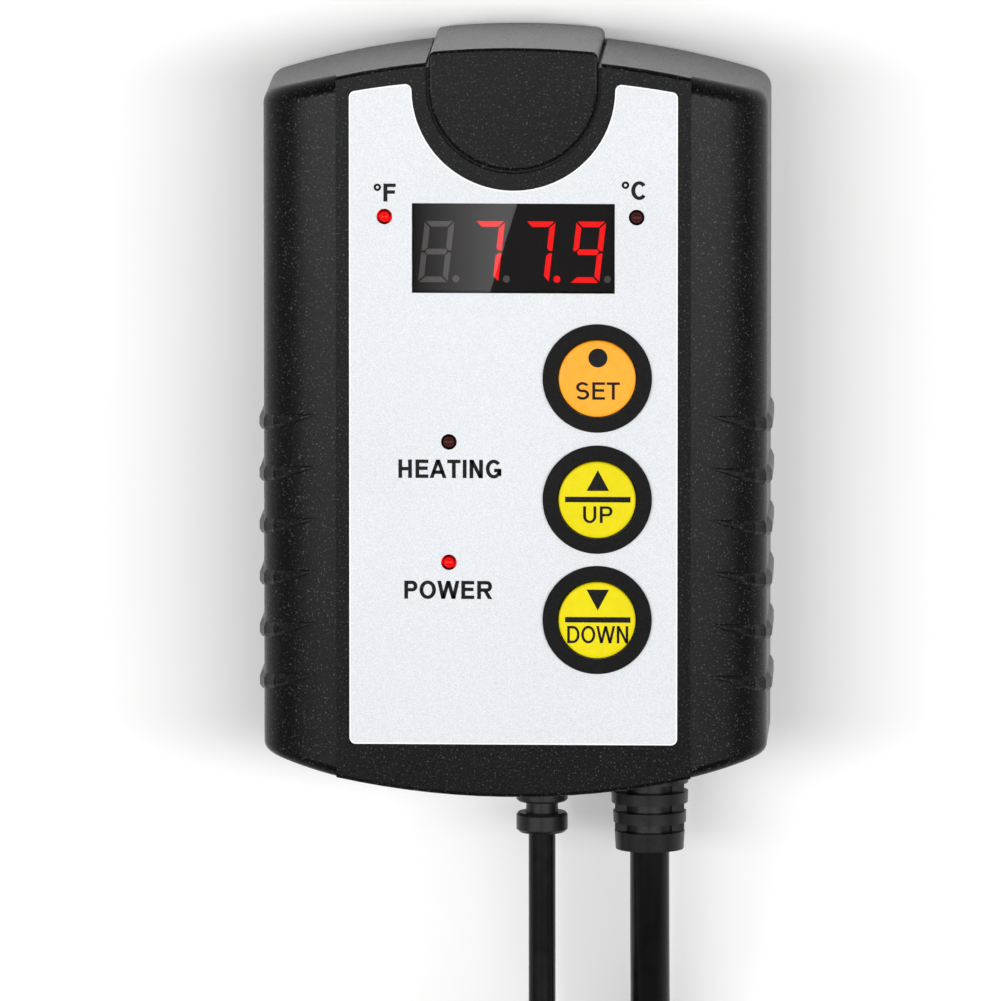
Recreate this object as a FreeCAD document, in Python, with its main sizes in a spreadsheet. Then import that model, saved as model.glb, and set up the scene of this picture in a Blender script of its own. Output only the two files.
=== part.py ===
"""Digital thermostat for a seedling heat mat, lying on its back, with its sensor and power leads.

X runs across the box, Y runs along it towards the hanging cap, Z rises out of the faceplate.
The origin is the centre of the box's footprint, on the surface that it lies on. Millimetres.
"""

import FreeCAD
import Part
import Sketcher
import math
import os
import re

doc = FreeCAD.newDocument("Thermostat")

# ---------------------------------------------------------------- driving sizes

SIZES = [
    ("body_width", 80.0),
    ("body_length", 118.0),
    ("body_depth", 36.0),
    ("end_radius", 132.0),
    ("top_corner", 3.0),
    ("bottom_corner", 1.8),
    ("crease_step", 0.35),
    ("parting", 16.0),
    ("wall", 2.2),
    ("end_wall", 3.2),
    ("rear_wall", 2.4),
    ("ceiling", 33.4),
    ("plateau_half", 28.1),
    ("shoulder_x", 36.5),
    ("shoulder_z", 32.0),
    ("side_top_z", 25.4),
    ("wing_radius", 24.0),
    ("shoulder_radius", 7.94),
    ("label_half", 26.0),
    ("label_bottom", 50.5),
    ("label_corner_y", 53.6),
    ("label_notch_y", 55.0),
    ("label_depth", 0.5),
    ("label_thick", 0.4),
    ("label_corner", 1.0),
    ("notch_radius", 16.1),
    ("notch_y", 53.9),
    ("cap_radius", 13.4),
    ("cap_gap", 0.5),
    ("cap_y", 54.4),
    ("cap_rise", 1.7),
    ("cap_proud", 0.3),
    ("cap_plate", 1.5),
    ("cap_slot_y", 57.5),
    ("window_half", 16.05),
    ("window_low", 21.65),
    ("window_high", 35.95),
    ("window_thick", 1.5),
    ("button_x", 13.3),
    ("set_y", 8.15),
    ("up_y", -11.2),
    ("down_y", -30.45),
    ("button_radius", 6.1),
    ("button_gap", 0.2),
    ("button_proud", 0.7),
    ("ring_radius", 8.65),
    ("ring_thick", 0.3),
    ("lamp_radius", 0.95),
    ("lamp_hole", 1.25),
    ("lamp_x", 20.4),
    ("lamp_y", 33.8),
    ("status_x", -10.2),
    ("heating_y", -2.1),
    ("power_y", -21.35),
    ("rib_pitch", 8.32),
    ("rib_first", -40.55),
    ("rib_length", 3.4),
    ("rib_count", 6.0),
    ("gland_z", 16.0),
    ("power_x", 21.1),
    ("sensor_x", 3.9),
    ("power_waist", 4.6),
    ("sensor_waist", 3.0),
    ("power_cord", 6.3),
    ("sensor_cord", 4.3),
    ("screw_x", 33.2),
    ("screw_y", 45.0),
    ("board_z", 7.0),
    ("board_thick", 1.6),
    ("board_half", 28.5),
    ("panel_z", 28.0),
    ("panel_half", 23.5),
    ("tie_thick", 0.8),
    ("tie_width", 5.0),
    ("power_ring", 33.0),
    ("sensor_ring", 25.0),
    ("plug_width", 35.0),
    ("plug_length", 38.0),
    ("plug_depth", 28.0),
]

sheet = doc.addObject("Spreadsheet::Sheet", "Sizes")
for row, (alias, number) in enumerate(SIZES, start=1):
    sheet.set(f"A{row}", alias)
    sheet.set(f"B{row}", str(number))
    sheet.setAlias(f"B{row}", alias)
doc.recompute()

FUNCTIONS = {"sqrt", "sin", "cos", "tan", "asin", "acos", "abs"}


def cells(text):
    """An expression in which each alias is read from the sheet."""

    def prefixed(match):
        word = match.group(0)
        return word if word in FUNCTIONS else "Sizes." + word

    return re.sub(r"[a-z][a-z_]*", prefixed, str(text))


def number(text):
    """The value of an expression in the sheet's aliases."""
    found = sheet.evalExpression(cells(text))
    return float(getattr(found, "Value", found))


CENTRE_Y = "-cap_rise / 2"
"""The box's own middle stands this far from the middle of its footprint, because of the cap."""

# ---------------------------------------------------------------- sketches and bodies

finished = []


def place(thing, label, y=CENTRE_Y):
    """Name a sub-part and set it down in the object's frame."""
    thing.Label = label
    thing.setExpression("Placement.Base.y", cells(y))
    finished.append(thing)
    return thing


def new_body(name):
    return doc.addObject("PartDesign::Body", name)


def new_sketch(body, name, role="XY_Plane", height="0"):
    """A sketch on one of the body's origin planes, raised along the plane's normal."""
    sketch = body.newObject("Sketcher::SketchObject", name)
    plane = next(f for f in body.Origin.OriginFeatures if f.Role == role)
    sketch.AttachmentSupport = (plane, [""])
    sketch.MapMode = "FlatFace"
    sketch.setExpression("AttachmentOffset.Base.z", cells(height))
    return sketch


def bound(sketch, constraint, text):
    index = sketch.addConstraint(constraint)
    sketch.setExpression(f"Constraints[{index}]", cells(text))


def draw_outline(sketch, corners, bulges=None):
    """A closed outline: corners in sheet expressions, and the radius of each side that is an arc.

    bulges maps a side's number to a radius, positive where the arc bows out of a
    counter-clockwise outline and negative where it bows in.
    """
    bulges = bulges or {}
    points = [FreeCAD.Vector(number(x), number(y), 0) for x, y in corners]
    first = sketch.GeometryCount
    count = len(points)
    for side in range(count):
        start, end = points[side], points[(side + 1) % count]
        if side not in bulges:
            sketch.addGeometry(Part.LineSegment(start, end), False)
            continue
        radius = number(bulges[side])
        chord = end - start
        outward = FreeCAD.Vector(chord.y, -chord.x, 0).normalize()
        depth = abs(radius) - math.sqrt(radius**2 - (chord.Length / 2) ** 2)
        middle = (start + end) / 2 + outward * math.copysign(depth, radius)
        sketch.addGeometry(Part.Arc(start, middle, end), False)
    for side in range(count):
        here = first + side
        after = first + (side + 1) % count
        # a bulge inwards is a clockwise arc, which the sketch stores from its far end
        own_end = 1 if side in bulges and number(bulges[side]) < 0 else 2
        next_side = (side + 1) % count
        next_start = 2 if next_side in bulges and number(bulges[next_side]) < 0 else 1
        sketch.addConstraint(Sketcher.Constraint("Coincident", here, own_end, after, next_start))
        x, y = corners[next_side]
        bound(sketch, Sketcher.Constraint("DistanceX", -1, 1, here, own_end, points[next_side].x), x)
        bound(sketch, Sketcher.Constraint("DistanceY", -1, 1, here, own_end, points[next_side].y), y)
        if side in bulges:
            radius = bulges[side].lstrip("-")
            bound(sketch, Sketcher.Constraint("Radius", here, number(radius)), radius)
    return sketch


def draw_box(sketch, x0, x1, y0, y1):
    return draw_outline(sketch, [(x0, y0), (x1, y0), (x1, y1), (x0, y1)])


def draw_circle(sketch, x, y, radius):
    centre = FreeCAD.Vector(number(x), number(y), 0)
    axis = FreeCAD.Vector(0, 0, 1)
    index = sketch.addGeometry(Part.Circle(centre, axis, number(radius)), False)
    bound(sketch, Sketcher.Constraint("DistanceX", -1, 1, index, 3, centre.x), x)
    bound(sketch, Sketcher.Constraint("DistanceY", -1, 1, index, 3, centre.y), y)
    bound(sketch, Sketcher.Constraint("Radius", index, number(radius)), radius)
    return sketch


def pad(body, sketch, length, both_ways=False):
    feature = body.newObject("PartDesign::Pad", sketch.Name + "Pad")
    feature.Profile = sketch
    feature.setExpression("Length", cells(length))
    if both_ways:
        feature.SideType = "Symmetric"
    sketch.Visibility = False
    doc.recompute()
    return feature


def pocket(body, sketch, depth, both_ways=False, along_normal=False):
    """Cut a sketch out of the body, against the sketch's normal unless told otherwise."""
    before = body.Shape.Volume
    feature = body.newObject("PartDesign::Pocket", sketch.Name + "Pocket")
    feature.Profile = sketch
    feature.setExpression("Length", cells(depth))
    feature.Reversed = along_normal
    if both_ways:
        feature.SideType = "Symmetric"
    doc.recompute()
    if body.Shape.Volume > before - 0.01:
        raise RuntimeError(f"{feature.Name} removes nothing")
    return feature


def round_edges(body, name, radius, chosen):
    """Fillet the edges of the body's tip that the test picks."""
    base = body.Tip
    names = [f"Edge{i}" for i, edge in enumerate(base.Shape.Edges, start=1) if chosen(edge)]
    if not names:
        raise RuntimeError(f"{name} finds no edges")
    feature = body.newObject("PartDesign::Fillet", name)
    feature.Base = (base, names)
    feature.setExpression("Radius", cells(radius))
    doc.recompute()
    if "Invalid" in feature.State:
        raise RuntimeError(f"{name} fails on {names}")
    return feature


def upright_at(x, y, reach=0.3):
    """A test for upright edges that stand at |x| = x and y."""

    def test(edge):
        box = edge.BoundBox
        thin = box.XLength < reach and box.YLength < reach
        return thin and abs(abs(box.Center.x) - x) < reach and abs(box.Center.y - y) < reach

    return test


# ---------------------------------------------------------------- housing

CORNER_Y = "(body_length / 2 - end_radius + sqrt(end_radius ^ 2 - body_width ^ 2 / 4))"


def draw_body_outline(sketch):
    half = "body_width / 2"
    draw_outline(
        sketch,
        [(f"-{half}", f"-{CORNER_Y}"), (half, f"-{CORNER_Y}"), (half, CORNER_Y), (f"-{half}", CORNER_Y)],
        {0: "end_radius", 2: "end_radius"},
    )


def draw_inner_outline(sketch, half):
    """The cavity's outline: half as wide as stated, with ends that follow the box's own."""
    inner = "(end_radius - end_wall)"
    y = f"(body_length / 2 - end_radius + sqrt({inner} ^ 2 - ({half}) ^ 2))"
    draw_outline(
        sketch,
        [(f"-({half})", f"-{y}"), (half, f"-{y}"), (half, y), (f"-({half})", y)],
        {0: inner, 2: inner},
    )


def corner_edges(sign):
    y = number(CORNER_Y)
    return upright_at(number("body_width / 2"), sign * y)


def add_screw_bosses(body, name, radius, height, length):
    sketch = new_sketch(body, name, height=height)
    for sx in ("-", ""):
        for sy in ("-", ""):
            draw_circle(sketch, f"{sx}screw_x", f"{sy}screw_y", radius)
    return pad(body, sketch, length)


def cut_screw_holes(body, name, radius, height, depth):
    sketch = new_sketch(body, name, height=height)
    for sx in ("-", ""):
        for sy in ("-", ""):
            draw_circle(sketch, f"{sx}screw_x", f"{sy}screw_y", radius)
    return pocket(body, sketch, depth)


def cut_gland_holes(body, name):
    sketch = new_sketch(body, name, "XZ_Plane", "48")
    draw_circle(sketch, "power_x", "gland_z", "power_waist")
    draw_circle(sketch, "sensor_x", "gland_z", "sensor_waist")
    pocket(body, sketch, "20", along_normal=True)


def cut_cap_slot(body, name, height, depth):
    """The channel in the top end that the cap's band lies in."""
    sketch = new_sketch(body, name, height=height)
    half = "(cap_radius + cap_gap)"
    draw_box(sketch, f"-{half}", half, "cap_slot_y", "cap_slot_y + 5")
    pocket(body, sketch, depth)


def is_upright(edge):
    box = edge.BoundBox
    return box.XLength < 0.01 and box.YLength < 0.01


RIB_PROFILE = [(-0.5, 0.0), (-0.38, 0.55), (-0.18, 0.95), (0.18, 0.95), (0.38, 0.55), (0.5, 0.0)]
"""Along the box, as a share of a rib's length, and how much of its full height is reached there."""
RIB_POINT_X = 30.2
"""Where the two flanks of a rib would meet, towards the middle of the box."""
RIB_TIP_UP = 1.25
RIB_SLOPE = -0.25
"""A rib runs down towards the cords as it goes out."""


def rib_solids(side_points):
    """Rounded ridges for both sides, each narrowing to a point up the wing."""
    ridges = []
    outer_x = number("body_width") / 2
    for index in range(int(number("rib_count"))):
        y = number("rib_first") + index * number("rib_pitch")
        for sign in (-1, 1):
            wires = []
            for share, grow in RIB_PROFILE:
                points = []
                for x, z, grow_x, grow_z in side_points:
                    out = x + grow * grow_x
                    narrowing = (out - RIB_POINT_X) / (outer_x - RIB_POINT_X)
                    lean = RIB_TIP_UP + RIB_SLOPE * (out - RIB_POINT_X)
                    along = y + lean + share * number("rib_length") * narrowing
                    points.append(FreeCAD.Vector(sign * out, along, z + grow * grow_z))
                wires.append(Part.makePolygon(points + points[:1]))
            ridges.append(Part.makeLoft(wires, True, True))
    return ridges


front = new_body("FrontHousing")
profile = new_sketch(front, "FrontProfile", "XZ_Plane")
draw_outline(
    profile,
    [
        ("-body_width / 2", "parting"),
        ("body_width / 2", "parting"),
        ("body_width / 2", "side_top_z"),
        ("shoulder_x", "shoulder_z"),
        ("plateau_half", "body_depth - crease_step"),
        ("-plateau_half", "body_depth - crease_step"),
        ("-shoulder_x", "shoulder_z"),
        ("-body_width / 2", "side_top_z"),
    ],
    {2: "shoulder_radius", 3: "wing_radius", 5: "wing_radius", 6: "shoulder_radius"},
)
pad(front, profile, "body_length + 20", both_ways=True)
trim = new_sketch(front, "FrontTrim", height="body_depth")
draw_body_outline(trim)
draw_box(trim, "-body_width", "body_width", "-body_length", "body_length")
pocket(front, trim, "body_depth")

def on_end_rim(sign):
    """A test for the edges that run up a corner of the front and over its wings, at one end."""

    def test(edge):
        middle = edge.valueAt((edge.FirstParameter + edge.LastParameter) / 2)
        radius = number("end_radius")
        drop = radius - math.sqrt(radius**2 - middle.x**2)
        on_end = abs(sign * middle.y - (number("body_length") / 2 - drop)) < 0.05
        return on_end and middle.z > number("parting") + 1

    return test


round_edges(front, "FrontTopRim", "top_corner", on_end_rim(1))
round_edges(front, "FrontBottomRim", "bottom_corner", on_end_rim(-1))

PLATEAU_END_Y = "(body_length / 2 - end_radius + sqrt(end_radius ^ 2 - plateau_half ^ 2))"
plateau = new_sketch(front, "Plateau", height="body_depth - 8")
draw_outline(
    plateau,
    [("-plateau_half", f"-{PLATEAU_END_Y}"), ("plateau_half", f"-{PLATEAU_END_Y}"),
     ("plateau_half", PLATEAU_END_Y), ("-plateau_half", PLATEAU_END_Y)],
    {0: "end_radius", 2: "end_radius"},
)
pad(front, plateau, "8")
round_edges(front, "PlateauTop", "0.6",
            lambda e: e.BoundBox.ZMin > number("body_depth") - 0.01 and e.BoundBox.XLength > 40)

for name, half, top in (("CavityWide", "body_width / 2 - wall", "27"),
                        ("CavityMiddle", "29.5", "31.5"),
                        ("CavityNarrow", "27", "ceiling")):
    inner = new_sketch(front, name, height="parting")
    draw_inner_outline(inner, half)
    pocket(front, inner, f"{top} - parting", along_normal=True)

add_screw_bosses(front, "FrontBosses", "3.2", "parting", "11.5")
cut_screw_holes(front, "FrontPilots", "1.3", "parting + 7", "7")

PANEL_SCREWS = [("20.3", "27.5"), ("-20.3", "27.5"), ("20.3", "-40"), ("-20.3", "-40")]
posts = new_sketch(front, "PanelPosts", height="panel_z + board_thick")
for x, y in PANEL_SCREWS:
    draw_circle(posts, x, y, "2.4")
pad(front, posts, "ceiling - panel_z - board_thick + 0.2")
pilots = new_sketch(front, "PanelPilots", height="panel_z + board_thick + 3")
for x, y in PANEL_SCREWS:
    draw_circle(pilots, x, y, "0.9")
pocket(front, pilots, "3")

label_recess = new_sketch(front, "LabelRecess", height="body_depth")


def draw_label_outline(sketch, grow):
    """The faceplate's outline, grown by a clearance: a plate with a half-round notch for the cap."""
    notch = f"(notch_radius - {grow})"
    corners = [
        (f"-label_half - {grow}", f"-label_bottom - {grow}"),
        (f"label_half + {grow}", f"-label_bottom - {grow}"),
        (f"label_half + {grow}", f"label_corner_y + {grow}"),
        (notch, f"label_notch_y + {grow}"),
        (notch, "notch_y"),
        (f"-{notch}", "notch_y"),
        (f"-{notch}", f"label_notch_y + {grow}"),
        (f"-label_half - {grow}", f"label_corner_y + {grow}"),
    ]
    draw_outline(sketch, corners, {2: "end_radius", 4: f"-({notch} + 0.001)", 6: "end_radius"})


draw_label_outline(label_recess, "0.15")
pocket(front, label_recess, "label_depth")

cap_recess = new_sketch(front, "CapRecess", height="body_depth")
CAP_OUT = "(cap_radius + cap_gap)"
draw_outline(
    cap_recess,
    [(f"-{CAP_OUT}", "cap_y"), (CAP_OUT, "cap_y"), (CAP_OUT, "cap_y + 8"), (f"-{CAP_OUT}", "cap_y + 8")],
    {0: f"({CAP_OUT} + 0.001)"},
)
pocket(front, cap_recess, "cap_plate - cap_proud")
pegs = new_sketch(front, "PegHoles", height="body_depth")
for x in ("-8", "8"):
    draw_circle(pegs, x, "50", "1.05")
pocket(front, pegs, "5")
cut_cap_slot(front, "FrontCapSlot", "body_depth", "body_depth")

openings = new_sketch(front, "PanelOpenings", height="body_depth")
draw_box(openings, "-window_half - 0.1", "window_half + 0.1", "window_low - 0.1", "window_high + 0.1")
for y in ("set_y", "up_y", "down_y"):
    draw_circle(openings, "button_x", y, "button_radius + button_gap")
LAMPS = {
    "fahrenheit_led": ("-lamp_x", "lamp_y"),
    "celsius_led": ("lamp_x - 0.9", "lamp_y"),
    "heating_led": ("status_x", "heating_y"),
    "power_led": ("status_x", "power_y"),
}
for x, y in LAMPS.values():
    draw_circle(openings, x, y, "lamp_hole + 0.05")
pocket(front, openings, "6")
cut_gland_holes(front, "FrontGlandHoles")

# (x, z, growth in x, growth in z) round the section of a rib, inside the wall and out over the wing
front_rib_section = [
    (38.6, number("parting"), 0.0, 0.0),
    (39.9, number("parting"), 0.9, 0.0),
    (39.9, 24.6, 0.9, 0.2),
    (39.2, 27.9, 0.75, 0.45),
    (37.8, 30.4, 0.5, 0.65),
    (36.2, 31.9, 0.3, 0.75),
    (33.6, 33.6, 0.15, 0.5),
    (30.9, 34.75, 0.0, 0.1),
    (31.2, 33.2, 0.0, 0.0),
    (36.4, 28.5, 0.0, 0.0),
]
front_ribs = doc.addObject("Part::Feature", "FrontRibs")
front_ribs.Shape = Part.makeCompound(rib_solids(front_rib_section))
front_shell = doc.addObject("Part::Fuse", "FrontShell")
front_shell.Base = front
front_shell.Tool = front_ribs
place(front_shell, "front_housing")

rear = new_body("RearHousing")
rear_outline = new_sketch(rear, "RearOutline")
draw_body_outline(rear_outline)
pad(rear, rear_outline, "parting")
round_edges(rear, "RearTopCorners", "top_corner", corner_edges(1))
round_edges(rear, "RearBottomCorners", "bottom_corner", corner_edges(-1))
round_edges(rear, "RearEdge", "1.2", lambda e: e.BoundBox.ZMax < 0.01)
rear_cavity = new_sketch(rear, "RearCavity", height="parting")
draw_inner_outline(rear_cavity, "body_width / 2 - wall")
pocket(rear, rear_cavity, "parting - rear_wall")
add_screw_bosses(rear, "RearBosses", "3.9", "rear_wall - 0.2", "parting - rear_wall + 0.2")
cut_screw_holes(rear, "RearClearances", "1.6", "parting", "parting")
cut_screw_holes(rear, "RearCounterbores", "2.9", "4", "4")
BOARD_SCREWS = [("25", "37"), ("-25", "37"), ("25", "-33"), ("-25", "-33")]
rear_posts = new_sketch(rear, "BoardPosts", height="rear_wall - 0.2")
for x, y in BOARD_SCREWS:
    draw_circle(rear_posts, x, y, "2.8")
pad(rear, rear_posts, "board_z - rear_wall + 0.2")
rear_pilots = new_sketch(rear, "BoardPilots", height="board_z")
for x, y in BOARD_SCREWS:
    draw_circle(rear_pilots, x, y, "1.0")
pocket(rear, rear_pilots, "4")
cut_cap_slot(rear, "RearCapSlot", "parting", "parting")
keyhole = new_sketch(rear, "Keyhole", height="rear_wall + 1")
draw_circle(keyhole, "0", "18", "4")
pocket(rear, keyhole, "rear_wall + 2")
keyway = new_sketch(rear, "Keyway", height="rear_wall + 1")
draw_box(keyway, "-2.1", "2.1", "18", "28")
pocket(rear, keyway, "rear_wall + 2")
label_seat = new_sketch(rear, "RatingSeat", height="0")
draw_box(label_seat, "-22.2", "22.2", "-32.2", "4.2")
pocket(rear, label_seat, "0.3", along_normal=True)
cut_gland_holes(rear, "RearGlandHoles")
rear_rib_section = [
    (38.6, number("parting"), 0.0, 0.0),
    (38.6, 5.0, 0.0, 0.0),
    (39.9, 4.0, 0.1, 0.0),
    (39.9, 6.0, 0.8, 0.3),
    (39.9, number("parting"), 0.9, 0.0),
]
rear_ribs = doc.addObject("Part::Feature", "RearRibs")
rear_ribs.Shape = Part.makeCompound(rib_solids(rear_rib_section))
rear_shell = doc.addObject("Part::Fuse", "RearShell")
rear_shell.Base = rear
rear_shell.Tool = rear_ribs
place(rear_shell, "rear_housing")

# ---------------------------------------------------------------- cap, faceplate, window

cap = new_body("TopCap")
cap_face = new_sketch(cap, "CapFace", height="body_depth + cap_proud - cap_plate")
CAP_TOP = "(body_length / 2 + cap_rise)"
CAP_SIDE_Y = f"({CAP_TOP} - end_radius + sqrt(end_radius ^ 2 - cap_radius ^ 2))"
draw_outline(
    cap_face,
    [("-cap_radius", "cap_y"), ("cap_radius", "cap_y"),
     ("cap_radius", CAP_SIDE_Y), ("-cap_radius", CAP_SIDE_Y)],
    {0: "(cap_radius + 0.001)", 2: "end_radius"},
)
pad(cap, cap_face, "cap_plate")
cap_band = new_sketch(cap, "CapBand", height="1.5")
draw_outline(
    cap_band,
    [("-cap_radius", "cap_slot_y + 0.1"), ("cap_radius", "cap_slot_y + 0.1"),
     ("cap_radius", CAP_SIDE_Y), ("-cap_radius", CAP_SIDE_Y)],
    {2: "end_radius"},
)
pad(cap, cap_band, "body_depth - 2")
round_edges(cap, "CapSides", "1.1", upright_at(number("cap_radius"), number(CAP_SIDE_Y), 0.4))
round_edges(
    cap,
    "CapFrontEdge",
    "0.5",
    lambda e: e.BoundBox.ZMin > number("body_depth + cap_proud") - 0.01,
)
cap_pegs = new_sketch(cap, "CapPegs", height="body_depth - 3")
for x in ("-8", "8"):
    draw_circle(cap_pegs, x, "50", "1")
pad(cap, cap_pegs, "2")
place(cap, "top_cap")

label = new_body("FaceplateLabel")
label_sketch = new_sketch(label, "LabelOutline", height="body_depth - label_depth")
draw_label_outline(label_sketch, "0")
pad(label, label_sketch, "label_thick")
round_edges(
    label,
    "LabelCorners",
    "label_corner",
    lambda e: is_upright(e) and abs(e.BoundBox.YMin - number("notch_y") - number(CENTRE_Y)) > 0.3,
)
label_holes = new_sketch(label, "LabelHoles", height="body_depth")
draw_box(label_holes, "-window_half", "window_half", "window_low", "window_high")
for y in ("set_y", "up_y", "down_y"):
    draw_circle(label_holes, "button_x", y, "button_radius + button_gap")
for x, y in LAMPS.values():
    draw_circle(label_holes, x, y, "lamp_hole")
pocket(label, label_holes, "3")
place(label, "faceplate_label")

window = new_body("DisplayWindow")
window_sketch = new_sketch(window, "WindowOutline", height="body_depth - 0.2 - window_thick")
PANE_HALF = "(window_half - 0.05)"
draw_box(window_sketch, f"-{PANE_HALF}", PANE_HALF, "window_low + 0.05", "window_high - 0.05")
pad(window, window_sketch, "window_thick")
place(window, "display_window")

# ---------------------------------------------------------------- shapes made of Part primitives


def make_box(name, x, y, z, width, length, height):
    """A box by its middle in X and Y and its underside, bound to the sheet."""
    box = doc.addObject("Part::Box", name)
    box.setExpression("Length", cells(width))
    box.setExpression("Width", cells(length))
    box.setExpression("Height", cells(height))
    box.setExpression("Placement.Base.x", cells(f"({x}) - ({width}) / 2"))
    box.setExpression("Placement.Base.y", cells(f"({y}) - ({length}) / 2 + ({CENTRE_Y})"))
    box.setExpression("Placement.Base.z", cells(z))
    return box


def make_rod(name, x, y, z, radius, height, axis=(0, 0, 1)):
    """A cylinder by the middle of its start face, along an axis."""
    rod = doc.addObject("Part::Cylinder", name)
    rod.setExpression("Radius", cells(radius))
    rod.setExpression("Height", cells(height))
    turn = FreeCAD.Rotation(FreeCAD.Vector(0, 0, 1), FreeCAD.Vector(*axis))
    rod.Placement = FreeCAD.Placement(FreeCAD.Vector(), turn)
    rod.setExpression("Placement.Base.x", cells(x))
    rod.setExpression("Placement.Base.y", cells(f"({y}) + ({CENTRE_Y})"))
    rod.setExpression("Placement.Base.z", cells(z))
    return rod


def cut(name, base, tool):
    made = doc.addObject("Part::Cut", name)
    made.Base = base
    made.Tool = tool
    return made


def fuse(name, shapes):
    made = doc.addObject("Part::MultiFuse", name)
    made.Shapes = shapes
    return made


def rounded(name, base, radius, chosen):
    """Part fillet of the chosen edges."""
    doc.recompute()
    made = doc.addObject("Part::Fillet", name)
    made.Base = base
    edges = [i for i, edge in enumerate(base.Shape.Edges, start=1) if chosen(edge)]
    made.Edges = [(i, radius, radius) for i in edges]
    return made


def keep(thing, label):
    thing.Label = label
    finished.append(thing)
    return thing


def group(label, things):
    """Separate solids of one kind in one node."""
    made = doc.addObject("Part::Compound", "Group_" + label)
    made.Links = things
    return keep(made, label)


def spun(name, outline, x, y, z, axis):
    """A turned piece: (radius, distance) pairs revolved about an axis through a point."""
    points = [FreeCAD.Vector(r, 0, d) for r, d in outline]
    face = Part.Face(Part.makePolygon(points + points[:1]))
    solid = face.revolve(FreeCAD.Vector(), FreeCAD.Vector(0, 0, 1), 360)
    feature = doc.addObject("Part::Feature", name)
    feature.Shape = solid
    turn = FreeCAD.Rotation(FreeCAD.Vector(0, 0, 1), FreeCAD.Vector(*axis))
    base = FreeCAD.Vector(number(x), number(y) + number(CENTRE_Y), number(z))
    feature.Placement = FreeCAD.Placement(base, turn)
    return feature


# ---------------------------------------------------------------- buttons and their switches

PLUNGER_LOW = "32.1"
PLUNGER_TOP = "ceiling + 0.4"
UNDER_CROWN = "35"
ON_PANEL = "panel_z + board_thick"
ON_LABEL = "body_depth - label_depth + label_thick"
BUTTONS = {"set": "set_y", "up": "up_y", "down": "down_y"}
switches = []
rings = []
for word, y in BUTTONS.items():
    top = "body_depth + button_proud"
    skirt_low = "ceiling - 1"
    cap_disc = make_rod(f"{word}_disc", "button_x", y, skirt_low, "button_radius", f"{top} - ({skirt_low})")
    flange = make_rod(f"{word}_flange", "button_x", y, skirt_low, "button_radius + 1", "0.7")
    shape = fuse(f"{word}_solid", [cap_disc, flange])
    hollow_high = f"{UNDER_CROWN} - ({skirt_low})"
    hollow = make_rod(f"{word}_hollow", "button_x", y, skirt_low, "button_radius - 1", hollow_high)
    shell = cut(f"{word}_shell", shape, hollow)
    post_high = f"{UNDER_CROWN} + 0.2 - ({PLUNGER_TOP})"
    post = make_rod(f"{word}_post", "button_x", y, PLUNGER_TOP, "1.6", post_high)
    whole = fuse(f"{word}_whole", [shell, post])
    high = number(top)
    button = rounded(f"{word}_rounded", whole, 0.45, lambda e: e.BoundBox.ZMin > high - 0.01)
    keep(button, f"{word}_button")
    plunger_high = f"{PLUNGER_TOP} - {PLUNGER_LOW}"
    plunger = make_rod(f"{word}_plunger", "button_x", y, PLUNGER_LOW, "1.7", plunger_high)
    keep(plunger, f"{word}_switch_plunger")
    case = make_box(f"{word}_case", "button_x", y, ON_PANEL, "6", "6", f"33 - ({ON_PANEL})")
    bore = make_rod(f"{word}_bore", "button_x", y, "31.4", "1.8", "3")
    switches.append(cut(f"{word}_switch", case, bore))
    disc = make_rod(f"{word}_ring_disc", "button_x", y, ON_LABEL, "ring_radius", "ring_thick")
    hole = make_rod(f"{word}_ring_hole", "button_x", y, "body_depth - 1", "button_radius + button_gap", "3")
    rings.append(cut(f"{word}_ring", disc, hole))
group("tact_switches", switches)
group("button_rings", rings)

LAMP_DOME_Z = "(body_depth - 0.4)"
for name, (x, y) in LAMPS.items():
    foot = make_rod(f"{name}_foot", x, y, ON_PANEL, "1.6", "0.8")
    stem = make_rod(f"{name}_stem", x, y, ON_PANEL, "lamp_radius", f"{LAMP_DOME_Z} - ({ON_PANEL})")
    dome = doc.addObject("Part::Sphere", f"{name}_dome")
    dome.setExpression("Radius", cells("lamp_radius"))
    dome.setExpression("Placement.Base.x", cells(x))
    dome.setExpression("Placement.Base.y", cells(f"({y}) + ({CENTRE_Y})"))
    dome.setExpression("Placement.Base.z", cells(LAMP_DOME_Z))
    keep(fuse(f"{name}_lamp", [foot, stem, dome]), name)

# ---------------------------------------------------------------- display

MODULE_TOP = "ceiling + 0.4"
module_y = "(window_low + window_high) / 2"
module = make_box("Module", "0", module_y, ON_PANEL, "31.6", "13.9", f"{MODULE_TOP} - ({ON_PANEL})")
keep(module, "display_module")

DIGIT_HEIGHT = 9.75
DIGIT_WIDTH = 4.7
DIGIT_DROP = 0.8
"""How far the digits sit below the middle of the window."""
STROKE = 0.88
DIGIT_PITCH = 8.0
DIGITS_X = -0.27
SLANT = math.tan(math.radians(6.5))
SEGMENT_GAP = 0.2
POINT_RADIUS = 0.55
POINT_AWAY = 0.75
SEGMENTS = {"7": "abc", "9": "abcdfg", "8": "abcdefg"}
"""The display reads 77.9 with its first place dark."""
SHOWN = [("8", False, False), ("7", True, False), ("7", True, True), ("9", True, False)]


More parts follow.
